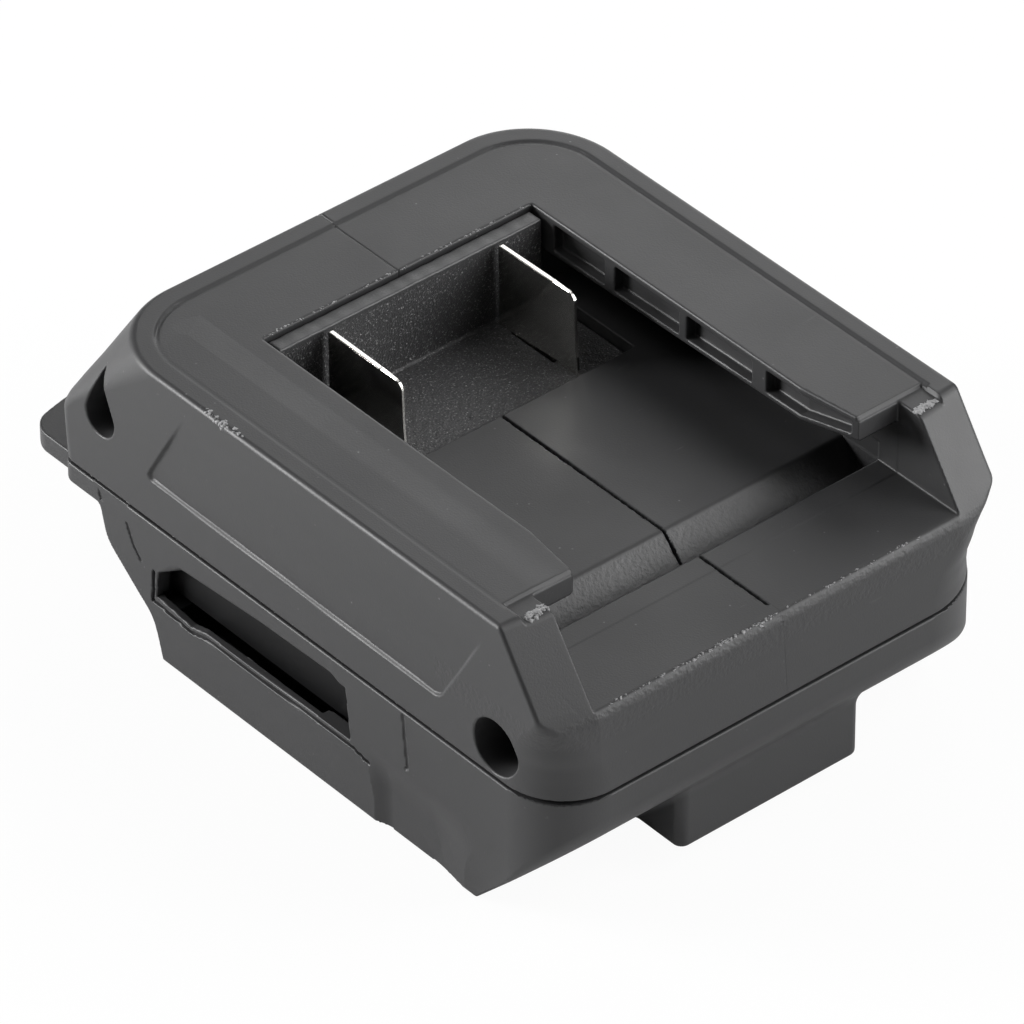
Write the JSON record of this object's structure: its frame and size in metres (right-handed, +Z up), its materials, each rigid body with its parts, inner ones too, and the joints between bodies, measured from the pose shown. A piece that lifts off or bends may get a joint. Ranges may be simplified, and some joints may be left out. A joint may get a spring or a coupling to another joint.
{
  "type": "tool battery adapter",
  "caption": "Moulded adapter that slides onto a cordless tool and takes a slide-on battery of another system between two rails with flat blade terminals.",
  "frame": {"origin": "on the surface that the adapter lies on, under the centre of its bounding box", "axes": "X across, the positive blade on the +X side; +Y towards the end with the flat tongue, away from the end the battery enters by; +Z up, with the battery side on top"},
  "size_m": [0.083, 0.119, 0.0504],
  "materials": {
    "shell_plastic": "dark grey moulded plastic, fine satin grain, with handling dust",
    "lever_plastic": "black moulded plastic",
    "terminal_plastic": "black glass-filled plastic, rough speckled grain",
    "plated_contact": "bright plated strip with sheared edges",
    "zinc_steel": "zinc-plated screws",
    "plain_steel": "bright drawn steel",
    "red_insulation": "silicone insulation",
    "black_insulation": "silicone insulation"
  },
  "bodies": {
    "housing": {"upper_housing_left": "shell_plastic", "upper_housing_right": "shell_plastic", "lower_housing": "shell_plastic", "terminal_block": "terminal_plastic", "blade_positive": "plated_contact", "blade_negative": "plated_contact", "joining_screws": "zinc_steel", "housing_screws": "zinc_steel", "terminal_retainer": "terminal_plastic", "retainer_screws": "zinc_steel", "lever_pin_left": "plain_steel", "lever_pin_right": "plain_steel", "lever_spring_left": "plain_steel", "lever_spring_right": "plain_steel", "contact_block": "terminal_plastic", "contact_clip_positive": "plated_contact", "contact_clip_negative": "plated_contact", "wire_positive": "red_insulation", "wire_negative": "black_insulation"},
    "lever_left": {"release_lever_left": "lever_plastic"},
    "lever_right": {"release_lever_right": "lever_plastic"}
  },
  "joints": [
    {"name": "release_left", "type": "hinge", "parent": "housing", "child": "lever_left", "pos_m": [-0.0342, 0.00525, 0.0132], "axis": [0, 1, 0], "range_deg": [0, 11], "stiffness_Nm_per_rad": 0.12, "springref_deg": -17.19, "deforming": ["lever_spring_left"]},
    {"name": "release_right", "type": "hinge", "parent": "housing", "child": "lever_right", "pos_m": [0.0342, 0.00525, 0.0132], "axis": [0, -1, 0], "range_deg": [0, 11], "stiffness_Nm_per_rad": 0.12, "springref_deg": -17.19, "deforming": ["lever_spring_right"]}
  ]
}
